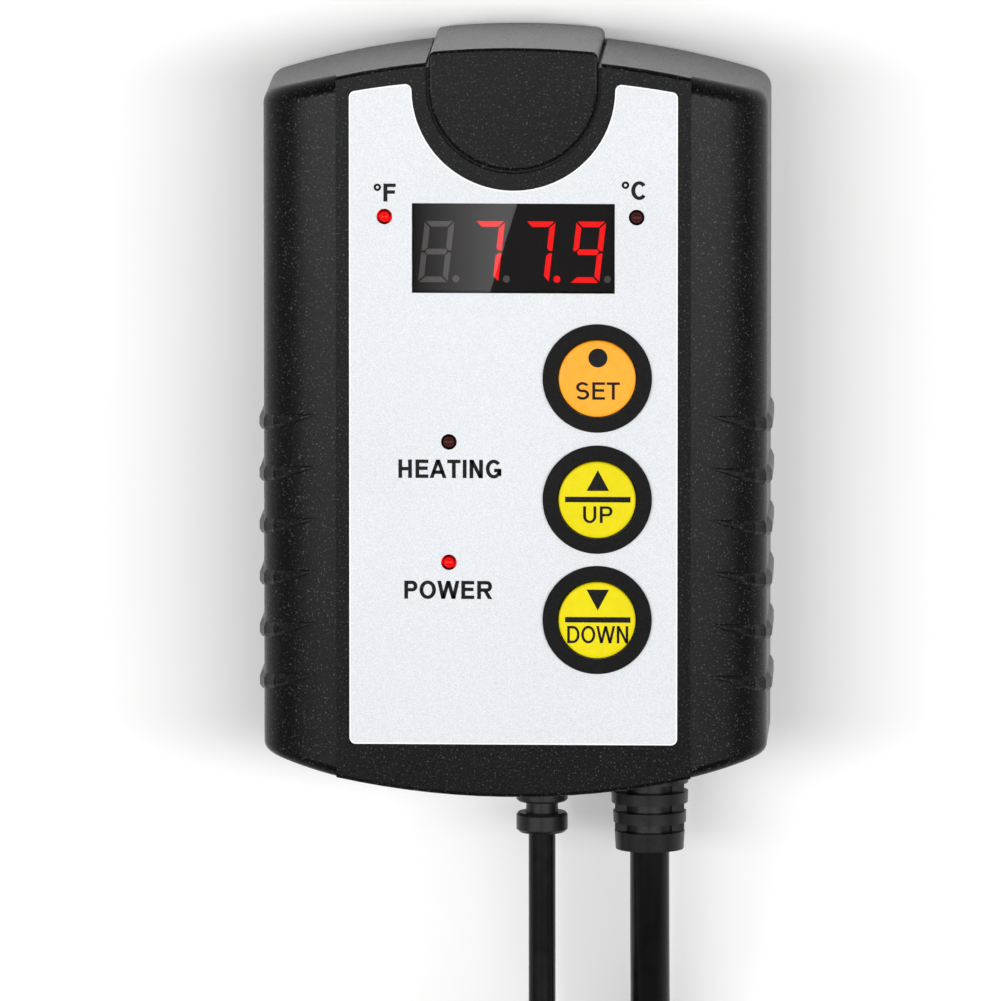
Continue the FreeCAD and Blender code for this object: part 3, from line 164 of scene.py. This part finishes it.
class Maker:
    """Builds a material's nodes in object coordinates, in millimetres.

    Values are sockets, numbers or colours.
    """

    def __init__(self, name):
        self.material = bpy.data.materials.new(name)
        self.material.use_nodes = True
        self.tree = self.material.node_tree
        self.tree.nodes.clear()
        self.output = self.node("ShaderNodeOutputMaterial")
        self.shader = self.node("ShaderNodeBsdfPrincipled")
        self.feed(self.output.inputs["Surface"], self.shader.outputs["BSDF"])
        coordinates = self.node("ShaderNodeTexCoord")
        scaled = self.node("ShaderNodeVectorMath")
        scaled.operation = "SCALE"
        scaled.inputs["Scale"].default_value = 1 / MM
        self.feed(scaled.inputs[0], coordinates.outputs["Object"])
        self.place = scaled.outputs["Vector"]

    def node(self, kind):
        return self.tree.nodes.new(kind)

    def feed(self, into, value):
        if isinstance(value, bpy.types.NodeSocket):
            self.tree.links.new(value, into)
        elif isinstance(value, tuple):
            into.default_value = (*value, 1.0)
        else:
            into.default_value = value

    def noise(self, per_mm, detail=2.0, rough=0.5):
        made = self.node("ShaderNodeTexNoise")
        inputs = (("Vector", self.place), ("Scale", per_mm), ("Detail", detail), ("Roughness", rough))
        for name, value in inputs:
            self.feed(made.inputs[name], value)
        return made.outputs["Fac"]

    def cells(self, per_mm):
        """Distance from the middle of random cells."""
        made = self.node("ShaderNodeTexVoronoi")
        self.feed(made.inputs["Vector"], self.place)
        self.feed(made.inputs["Scale"], per_mm)
        return made.outputs["Distance"]

    def along(self, axis):
        """A coordinate in millimetres."""
        made = self.node("ShaderNodeSeparateXYZ")
        self.feed(made.inputs[0], self.place)
        return made.outputs[axis]

    def spread(self, source, low, high, to_low=0.0, to_high=1.0):
        """source's low to high, clamped, as to_low to to_high."""
        made = self.node("ShaderNodeMapRange")
        inputs = (
            ("Value", source), ("From Min", low), ("From Max", high), ("To Min", to_low), ("To Max", to_high),
        )
        for name, value in inputs:
            self.feed(made.inputs[name], value)
        return made.outputs["Result"]

    def math(self, operation, a, b):
        made = self.node("ShaderNodeMath")
        made.operation = operation
        self.feed(made.inputs[0], a)
        self.feed(made.inputs[1], b)
        return made.outputs[0]

    def mix(self, share, a, b):
        made = self.node("ShaderNodeMix")
        made.data_type = "RGBA"
        colour_a, colour_b = [socket for socket in made.inputs if socket.type == "RGBA"]
        self.feed(made.inputs[0], share)
        self.feed(colour_a, a)
        self.feed(colour_b, b)
        return [socket for socket in made.outputs if socket.type == "RGBA"][0]

    def set(self, **values):
        for name, value in values.items():
            self.feed(self.shader.inputs[name.replace("_", " ")], value)

    def bump(self, height, distance_mm):
        made = self.node("ShaderNodeBump")
        self.feed(made.inputs["Distance"], distance_mm * MM)
        self.feed(made.inputs["Strength"], 1.0)
        self.feed(made.inputs["Height"], height)
        self.feed(self.shader.inputs["Normal"], made.outputs["Normal"])


def moulded(name, dark, light, per_mm, depth_mm, rough, spread=0.08, specular=0.5):
    """Moulded plastic or rubber: a fine eroded grain, uneven gloss and slightly uneven colour."""
    m = Maker(name)
    grain = m.noise(per_mm, 3.0, 0.6)
    broad = m.noise(0.15, 2.0)
    share = m.math("ADD", m.math("MULTIPLY", grain, 0.5), m.math("MULTIPLY", broad, 0.5))
    m.set(
        Base_Color=m.mix(m.spread(share, 0.35, 0.65), dark, light),
        Roughness=m.spread(grain, 0.3, 0.7, rough - spread, rough + spread),
        Specular_IOR_Level=specular,
    )
    m.bump(grain, depth_mm)
    return m.material


def spark_textured(name):
    """Black spark-eroded plastic: bumped pits, with fine pale dots painted into its colour as painted glints
    of the light the pits catch.
    """
    m = Maker(name)
    pits = m.noise(2.6, 2.0, 0.6)
    # Pale dots mixed into the colour: painted glints, not the plastic's own colour.
    painted_glints = m.spread(m.noise(3.0, 1.0), 0.63, 0.72)
    broad = m.noise(0.12, 2.0)
    plain = m.mix(m.spread(broad, 0.35, 0.65), (0.0016, 0.0016, 0.0021), (0.0026, 0.0026, 0.0031))
    m.set(
        # The pale dots' colour (0.055) is a painted glint.
        Base_Color=m.mix(painted_glints, plain, (0.055, 0.055, 0.058)),
        Roughness=m.spread(pits, 0.3, 0.7, 0.24, 0.32),
        Specular_IOR_Level=0.1,
    )
    m.bump(pits, 0.006)
    return m.material


def metal(name, colour, rough):
    m = Maker(name)
    grain = m.noise(6.0, 3.0)
    m.set(
        Base_Color=m.mix(grain, tuple(c * 0.85 for c in colour), colour), Metallic=1.0,
        Roughness=m.spread(grain, 0.3, 0.7, rough * 0.8, rough * 1.2),
    )
    m.bump(grain, 0.004)
    return m.material


def lamp(name, dark, light, glow=0.0, side_glow=None):
    """A red light-emitting surface, which may shine less where it doesn't face up."""
    m = Maker(name)
    m.set(Base_Color=m.mix(m.noise(1.5), dark, light), Roughness=0.3, Specular_IOR_Level=0.2)
    m.set(Emission_Color=(1.0, 0.0, 0.0), Emission_Strength=glow)
    if side_glow is not None:
        facing = m.node("ShaderNodeSeparateXYZ")
        m.feed(facing.inputs[0], m.node("ShaderNodeTexCoord").outputs["Normal"])
        m.set(Emission_Strength=m.spread(facing.outputs["Z"], 0.45, 0.9, side_glow, glow))
    m.bump(m.noise(3.0), 0.002)
    return m.material


def label_material():
    """Silver paint under a clear film: very fine bright and dark metal grains."""
    m = Maker("label_silver")
    grain = m.noise(6.5, 3.0, 0.75)
    flake = m.cells(4.0)
    broad = m.noise(0.04, 1.0)
    m.set(
        Base_Color=m.mix(m.spread(grain, 0.36, 0.64), (0.485, 0.505, 0.53), (0.67, 0.69, 0.715)),
        Metallic=0.1, Roughness=m.spread(broad, 0.3, 0.7, 0.40, 0.46),
    )
    m.bump(m.spread(flake, 0.0, 0.5), 0.004)
    return m.material


MIRROR_SHARE = 0.045


def window_material():
    """A smoked pane: mostly clear, with a faint mirror image on it."""
    m = Maker("window_smoke")
    haze = m.noise(0.5)
    m.set(
        Base_Color=m.mix(haze, (0.9, 0.9, 0.9), (1.0, 1.0, 1.0)), Metallic=1.0,
        Roughness=m.spread(haze, 0.3, 0.7, 0.004, 0.008),
    )
    clear = m.node("ShaderNodeBsdfTransparent")
    m.feed(clear.inputs["Color"], (0.78, 0.76, 0.76))
    film = m.node("ShaderNodeMixShader")
    m.feed(film.inputs[0], MIRROR_SHARE)
    m.feed(film.inputs[1], clear.outputs["BSDF"])
    m.feed(film.inputs[2], m.shader.outputs["BSDF"])
    m.feed(m.output.inputs["Surface"], film.outputs["Shader"])
    return m.material


def grey(level):
    return (level, level, level)


# moulded takes a dark and a light colour, grains per mm, their depth in mm, roughness, its spread, specular.
housing = spark_textured("housing_black")
cap = spark_textured("cap_black")
ring = moulded("ring_black", grey(0.0065), grey(0.0085), 2.0, 0.001, 0.28, 0.04, 0.05)
rubber = moulded("rubber_black", grey(0.005), grey(0.009), 3.0, 0.004, 0.33, 0.05, 0.2)
cord_skin = moulded(
    "cord_black", (0.004, 0.004, 0.0045), (0.006, 0.006, 0.0065), 0.5, 0.0015, 0.22, 0.03, 0.11,
)
tie_black = moulded("tie_black", grey(0.008), grey(0.014), 4.0, 0.02, 0.5)
set_key = moulded(
    "set_key_orange", (0.92, 0.33, 0.012), (0.97, 0.39, 0.022), 0.8, 0.002, 0.32, 0.05, 0.2,
)
step_key = moulded(
    "step_key_yellow", (0.68, 0.575, 0.003), (0.74, 0.63, 0.005), 0.8, 0.002, 0.32, 0.05, 0.08,
)
ink = moulded("ink_black", grey(0.003), grey(0.005), 2.0, 0.001, 0.28, 0.05, 0.1)
# Pale paint for the painted edge highlight round the faceplate.
edge_highlight_paint = moulded("painted_edge_highlight", grey(0.80), grey(0.88), 2.0, 0.001, 0.5, 0.05, 0.3)
plug_black = moulded("plug_black", (0.007, 0.007, 0.0075), (0.013, 0.013, 0.014), 1.2, 0.012, 0.36)
module_black = moulded("module_black", grey(0.006), grey(0.009), 1.5, 0.001, 0.4, 0.05, 0.1)
board_green = moulded("board_green", (0.02, 0.15, 0.05), (0.04, 0.22, 0.09), 0.7, 0.01, 0.3)
component = moulded("component_black", grey(0.03), grey(0.06), 1.0, 0.01, 0.5)
paper = moulded("paper_grey", (0.52, 0.53, 0.55), (0.62, 0.63, 0.65), 3.0, 0.004, 0.5)
film_case = moulded("film_yellow", (0.5, 0.3, 0.02), (0.6, 0.38, 0.04), 1.0, 0.01, 0.35)
sleeve = moulded("sleeve_blue", (0.01, 0.02, 0.10), (0.02, 0.04, 0.15), 1.0, 0.01, 0.3)
wire_red = moulded("wire_red", (0.4, 0.05, 0.04), (0.5, 0.08, 0.06), 1.0, 0.005, 0.35)
terminal_green = moulded("terminal_green", (0.02, 0.16, 0.06), (0.03, 0.24, 0.1), 1.0, 0.01, 0.4)
segment_dark = lamp("segment_dark", grey(0.16), grey(0.20))
segment_lit = lamp("segment_lit", (0.5, 0.0, 0.0), (0.6, 0.0, 0.0), 1.3)
lamp_lit = lamp("lamp_lit", (0.25, 0.0, 0.0), (0.3, 0.0, 0.0), 1.1, 0.05)
lamp_dark = lamp("lamp_dark", (0.03, 0.003, 0.003), (0.06, 0.006, 0.006))
steel = metal("probe_steel", (0.66, 0.66, 0.67), 0.22)
plated = metal("plated_steel", (0.55, 0.55, 0.56), 0.3)
brass = metal("brass", (0.78, 0.6, 0.28), 0.28)
label_silver = label_material()
window_smoke = window_material()

NODE_MATERIALS = {
    housing: ["front_housing", "rear_housing"],
    cap: ["top_cap"],
    label_silver: ["faceplate_label"],
    window_smoke: ["display_window"],
    ring: ["button_rings"],
    set_key: ["set_button"],
    step_key: ["up_button", "down_button"],
    component: ["relay", "transformer", "microcontroller", "voltage_regulator", "set_switch_plunger",
                "up_switch_plunger", "down_switch_plunger"],
    plated: ["tact_switches", "housing_screws", "board_screws", "panel_screws", "fuse_clips"],
    lamp_lit: ["fahrenheit_led", "power_led"],
    lamp_dark: ["celsius_led", "heating_led"],
    module_black: ["display_module"],
    segment_lit: ["display_segments_lit"],
    segment_dark: ["display_segments_unlit"],
    board_green: ["display_board", "power_board"],
    sleeve: ["electrolytic_capacitors"],
    film_case: ["film_capacitor"],
    paper: ["rear_label", "fuse", "sensor_connector"],
    brass: ["board_header", "plug_line_blade", "plug_neutral_blade", "plug_ground_pin", "socket_contacts"],
    terminal_green: ["cord_terminals"],
    wire_red: ["mains_wires", "sensor_wires"],
    rubber: ["power_strain_relief", "sensor_strain_relief", "sensor_probe_boot", "plug_strain_relief"],
    tie_black: ["power_coil_tie", "sensor_coil_tie"],
    steel: ["sensor_probe_tube"],
    plug_black: ["plug_body"],
}
for material, names in NODE_MATERIALS.items():
    for name in names:
        NODES[name].data.materials.clear()
        NODES[name].data.materials.append(material)
for cord in (power_cord, sensor_cable):
    cord.data.materials.append(cord_skin)

# ---------------------------------------------------------------- printing on the faceplate and the buttons

LABEL_TOP = 35.9
KEY_TOP = 36.7
PRINT_THICK = 0.02
PRINT_LIFT = 0.004
BAND_STEPS = 20
DISC_STEPS = 32
# Width of the painted edge highlight round the faceplate, in mm.
HIGHLIGHT_RIM_WIDTH = 0.22
WORD_STEM = 0.225
KEY_STEM = 0.175


class Print:
    """Flat shapes in millimetres, gathered into one thin mesh."""

    def __init__(self):
        self.points = []
        self.faces = []

    def shape(self, corners):
        start = len(self.points)
        self.points += corners
        self.faces.append(list(range(start, start + len(corners))))

    def bar(self, x0, y0, x1, y1):
        self.shape([(x0, y0), (x1, y0), (x1, y1), (x0, y1)])

    def slant(self, low_x, high_x, width, y0=0.0, y1=1.0):
        """A leaning stroke with level ends."""
        self.shape([(low_x, y0), (low_x + width, y0), (high_x + width, y1), (high_x, y1)])

    def band(self, x, y, radii, widths, start, end):
        """Part of an oval ring, from one angle in degrees to another."""
        rx, ry = radii
        for step in range(BAND_STEPS):
            a0, a1 = (math.radians(start + (end - start) * (step + more) / BAND_STEPS) for more in (0, 1))
            corners = []
            for angle, inside in ((a0, 0), (a1, 0), (a1, 1), (a0, 1)):
                reach_x = rx - inside * widths[0]
                reach_y = ry - inside * widths[1]
                corners.append((x + reach_x * math.cos(angle), y + reach_y * math.sin(angle)))
            self.shape(corners)

    def disc(self, x, y, radius):
        angles = [TURN * i / DISC_STEPS for i in range(DISC_STEPS)]
        self.shape([(x + radius * math.cos(angle), y + radius * math.sin(angle)) for angle in angles])

    def add(self, other, scale_x, scale_y, x, y):
        start = len(self.points)
        self.points += [(x + px * scale_x, y + py * scale_y) for px, py in other.points]
        self.faces += [[start + i for i in face] for face in other.faces]

    def piece(self, name, material, slot, z, body):
        mesh = bpy.data.meshes.new(name)
        mesh.from_pydata([mm(x, y, z + PRINT_LIFT) for x, y in self.points], [], self.faces)
        shape = bmesh.new()
        shape.from_mesh(mesh)
        for face in shape.faces:
            if face.normal.z < 0:
                face.normal_flip()
        bmesh.ops.solidify(shape, geom=shape.faces[:], thickness=-PRINT_THICK * MM)
        bmesh.ops.recalc_face_normals(shape, faces=shape.faces[:])
        shape.to_mesh(mesh)
        shape.free()
        mesh.materials.append(material)
        obj = bpy.data.objects.new(name, mesh)
        bpy.context.scene.collection.objects.link(obj)
        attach(obj, body)


# Each letter's width, the space before it and its advance, in capital heights.
METRICS = {
    "A": (1.00, 0.00, 1.01), "C": (0.88, 0.07, 1.01), "D": (0.85, 0.10, 1.01), "E": (0.76, 0.10, 0.93),
    "F": (0.69, 0.10, 0.85), "G": (0.94, 0.06, 1.09), "H": (0.80, 0.10, 1.01), "I": (0.20, 0.10, 0.39),
    "N": (0.79, 0.11, 1.01), "O": (0.97, 0.06, 1.09), "P": (0.77, 0.10, 0.93), "R": (0.89, 0.10, 1.01),
    "S": (0.80, 0.05, 0.93), "T": (0.79, 0.03, 0.85), "U": (0.80, 0.10, 1.01), "W": (1.30, 0.01, 1.32),
    "\u00b0": (0.42, 0.05, 0.50),
}


def letter(sign, stem):
    """A bold sans-serif capital, one unit tall, its left edge at zero."""
    made = Print()
    w = stem if sign == "I" else METRICS[sign][0]
    t = stem * 0.86
    half = w / 2
    widths = (stem, t)
    if sign in "DEFHINPR":
        made.bar(0, 0, stem, 1)
    if sign in "HNU":
        made.bar(w - stem, 0.4 if sign == "U" else 0, w, 1)
    if sign == "H":
        made.bar(stem, 0.5 - t / 2, w - stem, 0.5 + t / 2)
    if sign == "N":
        made.slant(w - stem * 1.05, 0, stem * 1.05)
    if sign in "EF":
        made.bar(stem, 1 - t, w, 1)
        made.bar(stem, 0.53 - t / 2, w * 0.94, 0.53 + t / 2)
    if sign == "E":
        made.bar(stem, 0, w, t)
    if sign == "T":
        made.bar(0, 1 - t, w, 1)
        made.bar(half - stem / 2, 0, half + stem / 2, 1 - t)
    if sign == "D":
        made.bar(stem, 1 - t, w - 0.45, 1)
        made.bar(stem, 0, w - 0.45, t)
        made.band(w - 0.45, 0.5, (0.45, 0.5), widths, -90, 90)
    if sign in "PR":
        made.bar(stem, 1 - t, w - 0.3, 1)
        made.bar(stem, 0.4, w - 0.3, 0.4 + t)
        made.band(w - 0.3, 0.7, (0.3 if sign == "P" else 0.28, 0.3), widths, -90, 90)
    if sign == "R":
        made.slant(w - stem * 1.1, w * 0.42, stem * 1.1, 0, 0.42)
    if sign in "CGO":
        start, end = {"C": (38, 322), "G": (38, 335), "O": (0, 360)}[sign]
        made.band(half, 0.5, (half, 0.515), widths, start, end)
    if sign == "G":
        made.bar(w * 0.52, 0.52 - t, w - 0.02, 0.52)
        made.bar(w - stem * 0.9, 0.12, w - 0.02, 0.52)
    if sign == "S":
        ry = 0.25 + t / 4
        made.band(half, 1 - ry, (half * 0.97, ry + 0.01), widths, 25, 270)
        made.band(half, ry, (half, ry + 0.01), widths, -155, 90)
    if sign == "U":
        made.bar(0, 0.4, stem, 1)
        made.band(half, 0.4, (half, 0.415), widths, 180, 360)
    if sign == "A":
        made.slant(0, half - stem / 2, stem)
        made.slant(w - stem, half - stem / 2, stem)
        made.bar(stem * 0.9, 0.22, w - stem * 0.9, 0.22 + t)
    if sign == "W":
        left, right, peak = (part * w - stem / 2 for part in (0.27, 0.73, 0.5))
        for low_x, high_x in ((left, 0), (left, peak), (right, peak), (right, w - stem)):
            made.slant(low_x, high_x, stem)
    if sign == "\u00b0":
        made.band(half, 1 - half, (half, half), (0.13, 0.13), 0, 360)
    return made


def word(text, x0, x1, y0, y1, stem):
    """A word that fills a box."""
    run = Print()
    at = 0.0
    first = METRICS[text[0]][1]
    for sign in text:
        width, space, advance = METRICS[sign]
        run.add(letter(sign, stem), 1, 1, at + space - first, 0)
        end = at + space - first + width
        at += advance
    made = Print()
    made.add(run, (x1 - x0) / end, y1 - y0, x0, y0)
    return made


def word_piece(name, text, box):
    word(text, *box, WORD_STEM).piece(name, ink, "ring", LABEL_TOP, "root")


word_piece("legend_fahrenheit", "\u00b0F", (-22.09, -18.59, 35.33, 38.2))
word_piece("legend_celsius", "\u00b0C", (17.12, 21.19, 35.79, 38.71))
word_piece("legend_heating", "HEATING", (-18.2, -1.83, -8.73, -5.78))
word_piece("legend_power", "POWER", (-17.28, -3.31, -28.06, -25.16))

KEY_X = 13.42
BAR_HALF = 5.18
ARROW_HALF = 1.78


def key_word(text, half_width, y0, y1):
    return word(text, KEY_X - half_width, KEY_X + half_width, y0, y1, KEY_STEM)


def key_piece(made, name, body):
    made.piece(name, ink, "ring", KEY_TOP, body)


print_set = key_word("SET", 3.48, 4.01, 6.79)
print_set.disc(KEY_X, 10.66, 1.51)
key_piece(print_set, "legend_set", "set_key_body")

print_up = key_word("UP", 2.32, -15.68, -13.02)
print_up.shape([(KEY_X - ARROW_HALF, -10.56), (KEY_X + ARROW_HALF, -10.56), (KEY_X, -7.24)])
print_up.bar(KEY_X - BAR_HALF, -12.38, KEY_X + BAR_HALF, -11.5)
key_piece(print_up, "legend_up", "up_key_body")

print_down = key_word("DOWN", 4.83, -34.92, -32.16)
print_down.shape([(KEY_X, -29.67), (KEY_X + ARROW_HALF, -26.34), (KEY_X - ARROW_HALF, -26.34)])
print_down.bar(KEY_X - BAR_HALF, -31.61, KEY_X + BAR_HALF, -30.74)
key_piece(print_down, "legend_down", "down_key_body")


def painted_label_edge_highlight():
    """A thin pale border that follows the faceplate's outline: a painted edge highlight, the light on its cut
    edge painted in.
    """
    shape = bmesh.new()
    shape.from_mesh(NODES["faceplate_label"].data)
    shape.transform(NODES["faceplate_label"].matrix_world)
    bmesh.ops.remove_doubles(shape, verts=shape.verts[:], dist=0.001 * MM)
    shape.verts.index_update()
    shape.normal_update()
    top = max(v.co.z for v in shape.verts)
    rim_edges = {}
    for edge in shape.edges:
        if all(v.co.z > top - 0.01 * MM for v in edge.verts):
            level = [f.normal.z > 0.9 for f in edge.link_faces]
            if sorted(level) == [False, True]:
                for a, b in (edge.verts, reversed(edge.verts)):
                    rim_edges.setdefault(a.index, []).append(b.index)
    places = {v.index: v.co.copy() for v in shape.verts}
    shape.free()
    start = max(rim_edges, key=lambda i: abs(places[i].x) + abs(places[i].y))
    loop = [start]
    before = None
    here = start
    while True:
        following = [i for i in rim_edges[here] if i != before][0]
        if following == start:
            break
        loop.append(following)
        before, here = here, following
    outline = [Vector((places[i].x, places[i].y)) / MM for i in loop]
    made = Print()
    area = sum(a.x * b.y - b.x * a.y for a, b in zip(outline, outline[1:] + outline[:1]))
    inner = []
    for last, here, following in zip(outline[-1:] + outline[:-1], outline, outline[1:] + outline[:1]):
        ahead = ((here - last).normalized() + (following - here).normalized()).normalized()
        inward = Vector((-ahead.y, ahead.x)) * (1 if area > 0 else -1)
        inner.append(here + inward * HIGHLIGHT_RIM_WIDTH)
    for i in range(len(outline)):
        j = (i + 1) % len(outline)
        made.shape([tuple(outline[i]), tuple(outline[j]), tuple(inner[j]), tuple(inner[i])])
    # The pale border is a painted edge highlight.
    made.piece("faceplate_painted_highlight", edge_highlight_paint, "label", LABEL_TOP, "root")


painted_label_edge_highlight()

# ---------------------------------------------------------------- floor and light


def flat_mesh(name, corners, material):
    mesh = bpy.data.meshes.new(name)
    mesh.from_pydata(corners, [], [range(len(corners))])
    mesh.materials.append(material)
    obj = bpy.data.objects.new(name, mesh)
    bpy.context.scene.collection.objects.link(obj)
    return obj


FLOOR_HALF = 12.0
floor_maker = Maker("floor_white")
floor_maker.set(
    Base_Color=floor_maker.mix(floor_maker.noise(0.02), grey(0.88), grey(0.92)), Roughness=0.9,
)
flat_mesh("floor", [(x * FLOOR_HALF, y * FLOOR_HALF, 0) for x, y in ((-1, -1), (1, -1), (1, 1), (-1, 1))],
          floor_maker.material)

# A room that is bright near the horizon and dim overhead.
world = bpy.data.worlds.new("world")
world.use_nodes = True
sky = world.node_tree.nodes
join = world.node_tree.links.new
sky["Background"].inputs["Color"].default_value = (1.0, 0.99, 0.97, 1.0)
height = sky.new("ShaderNodeSeparateXYZ")
join(sky.new("ShaderNodeTexCoord").outputs["Generated"], height.inputs[0])
dimming = sky.new("ShaderNodeMapRange")
for name, value in (("From Min", 0.08), ("From Max", 0.55), ("To Min", 0.85), ("To Max", 0.09)):
    dimming.inputs[name].default_value = value
join(height.outputs["Z"], dimming.inputs["Value"])
join(dimming.outputs["Result"], sky["Background"].inputs["Strength"])
bpy.context.scene.world = world


def panel(name, place, aim, width, height, watts):
    data = bpy.data.lights.new(name, "AREA")
    data.shape = "RECTANGLE"
    data.size = width
    data.size_y = height
    data.energy = watts
    obj = bpy.data.objects.new(name, data)
    obj.location = place
    obj.rotation_mode = "QUATERNION"
    obj.rotation_quaternion = (Vector(place) - Vector(aim)).to_track_quat("Z", "Y")
    obj.visible_camera = False
    bpy.context.scene.collection.objects.link(obj)


LIGHT_OUT = 0.76
LIGHT_UP = 1.3
LIGHT_AIM = (0, -0.02, 0)
LIGHT_SIZE = (0.38, 1.5)
LIGHT_WATTS = 16.5
for name, side_of in (("left_light", -1), ("right_light", 1)):
    panel(name, (side_of * LIGHT_OUT, 0.0, LIGHT_UP), LIGHT_AIM, *LIGHT_SIZE, LIGHT_WATTS)

# A pale card above the box, mirrored in the left half of the window, with a slanting edge. Its
# corners are where they show on the window, in mm from its middle.
WINDOW_MIDDLE = mm(0.0, 27.95, 35.8)
CARD_UP = 0.5
card_scale = 1 + CARD_UP / CAMERA_AWAY
mirrored = Vector((-back.x, -back.y, back.z)) * (CARD_UP / back.z)
card_maker = Maker("card_glow")
fade = card_maker.spread(card_maker.along("X"), -37.0, -21.0, 0.05, 1.3)
card_maker.set(Base_Color=(0.0, 0.0, 0.0), Emission_Color=(1.0, 1.0, 1.0), Emission_Strength=fade)
CARD_SHAPE = [(-18.0, -12.0), (-6.7, -12.0), (1.24, 14.0), (-18.0, 14.0)]
card_corners = [WINDOW_MIDDLE + mirrored + mm(x, y, 0) * card_scale for x, y in CARD_SHAPE]
card = flat_mesh("window_card", card_corners, card_maker.material)
card.visible_camera = False

bpy.context.scene.view_settings.view_transform = "Standard"

bpy.context.view_layer.update()
